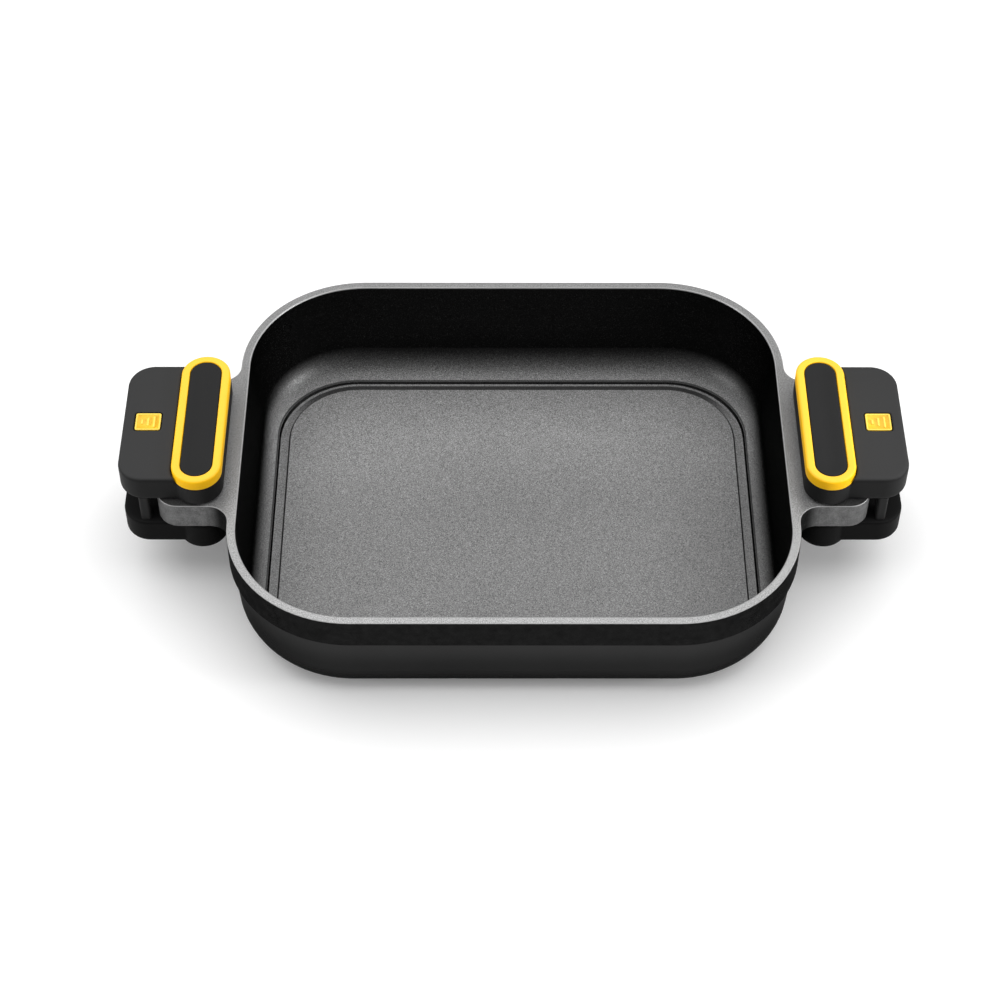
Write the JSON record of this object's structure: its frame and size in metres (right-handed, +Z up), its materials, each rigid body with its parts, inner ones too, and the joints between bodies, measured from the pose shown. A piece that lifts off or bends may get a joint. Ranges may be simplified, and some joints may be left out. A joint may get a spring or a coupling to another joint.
{
  "type": "griddle pan",
  "caption": "Deep rectangular cast griddle pan with round corners, flush end lugs and pull-off two-pad grips with a raised accent ring.",
  "frame": {"origin": "middle of the underside, on the surface the pan stands on", "axes": "+X runs along the length to the right grip, +Y to the back, +Z up from the underside to the rim"},
  "size_m": [0.388, 0.232, 0.0795],
  "materials": {
    "coated_cast_aluminium": "non-stick coat with fine metallic grain over die-cast aluminium",
    "base_steel": "brushed magnetic steel",
    "grip_pad": "matt black silicone, smooth",
    "accent": "satin yellow silicone",
    "grip_inlay": "matt black silicone, smooth",
    "badge": "satin yellow plastic",
    "post": "matt black heat-resistant plastic",
    "screw_steel": "plain steel screw",
    "liner": "soft black silicone"
  },
  "bodies": {
    "pan": {"pan_body": "coated_cast_aluminium", "base_plate": "base_steel"},
    "left_grip": {"left_upper_pad": "grip_pad", "left_lower_pad": "grip_pad", "left_accent_ring": "accent", "left_ring_inlay": "grip_inlay", "left_badge": "badge", "left_front_post": "post", "left_rear_post": "post", "left_screws": "screw_steel", "left_upper_liner": "liner", "left_lower_liner": "liner"},
    "right_grip": {"right_upper_pad": "grip_pad", "right_lower_pad": "grip_pad", "right_accent_ring": "accent", "right_ring_inlay": "grip_inlay", "right_badge": "badge", "right_front_post": "post", "right_rear_post": "post", "right_screws": "screw_steel", "right_upper_liner": "liner", "right_lower_liner": "liner"}
  },
  "joints": [
    {"name": "left_grip_pull", "type": "slide", "parent": "pan", "child": "left_grip", "axis": [-1, 0, 0], "range_m": [0, 0.06]},
    {"name": "right_grip_pull", "type": "slide", "parent": "pan", "child": "right_grip", "axis": [1, 0, 0], "range_m": [0, 0.06]}
  ]
}
